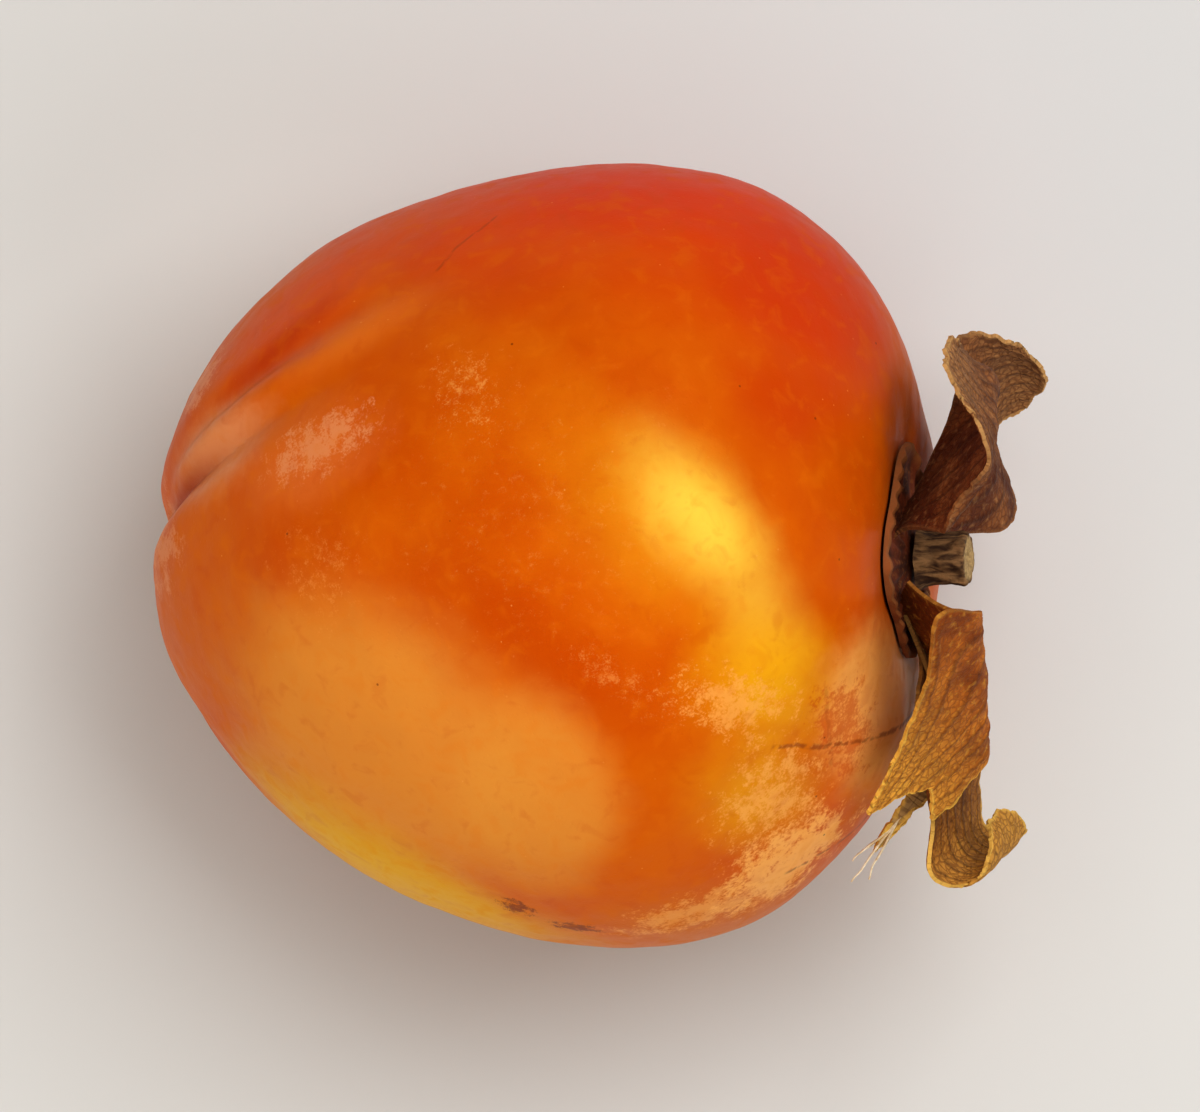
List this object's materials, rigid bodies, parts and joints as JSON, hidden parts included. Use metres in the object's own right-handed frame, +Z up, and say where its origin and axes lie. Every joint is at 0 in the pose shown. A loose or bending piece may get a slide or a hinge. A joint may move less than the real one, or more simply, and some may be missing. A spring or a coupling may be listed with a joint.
{
  "type": "persimmon",
  "caption": "Ripe orange persimmon lying on its side, slightly long, with creases at the blossom end, a dry folded calyx, a cut stem stub and a withered style tip.",
  "frame": {"origin": "middle of the small flat spot on the belly that the fruit rests on", "axes": "+X along the fruit from the blossom end to the calyx, level with the surface it lies on; +Z up, out of the resting spot; +Y across the fruit"},
  "size_m": [0.0944, 0.0826, 0.0797],
  "materials": {
    "skin": "smooth waxy fruit skin with a soft gloss, deep orange with redder upper side, yellow ground and pale bloom",
    "dry_sepal": "dry leathery sepal, brown with darker veins, matt",
    "woody_stem": "dry woody stem with a cut end, matt",
    "withered_style": "withered, nearly black, matt"
  },
  "bodies": {
    "root": {"fruit": "skin", "calyx": "dry_sepal", "stem_stub": "woody_stem", "style_tip": "withered_style"}
  },
  "joints": []
}
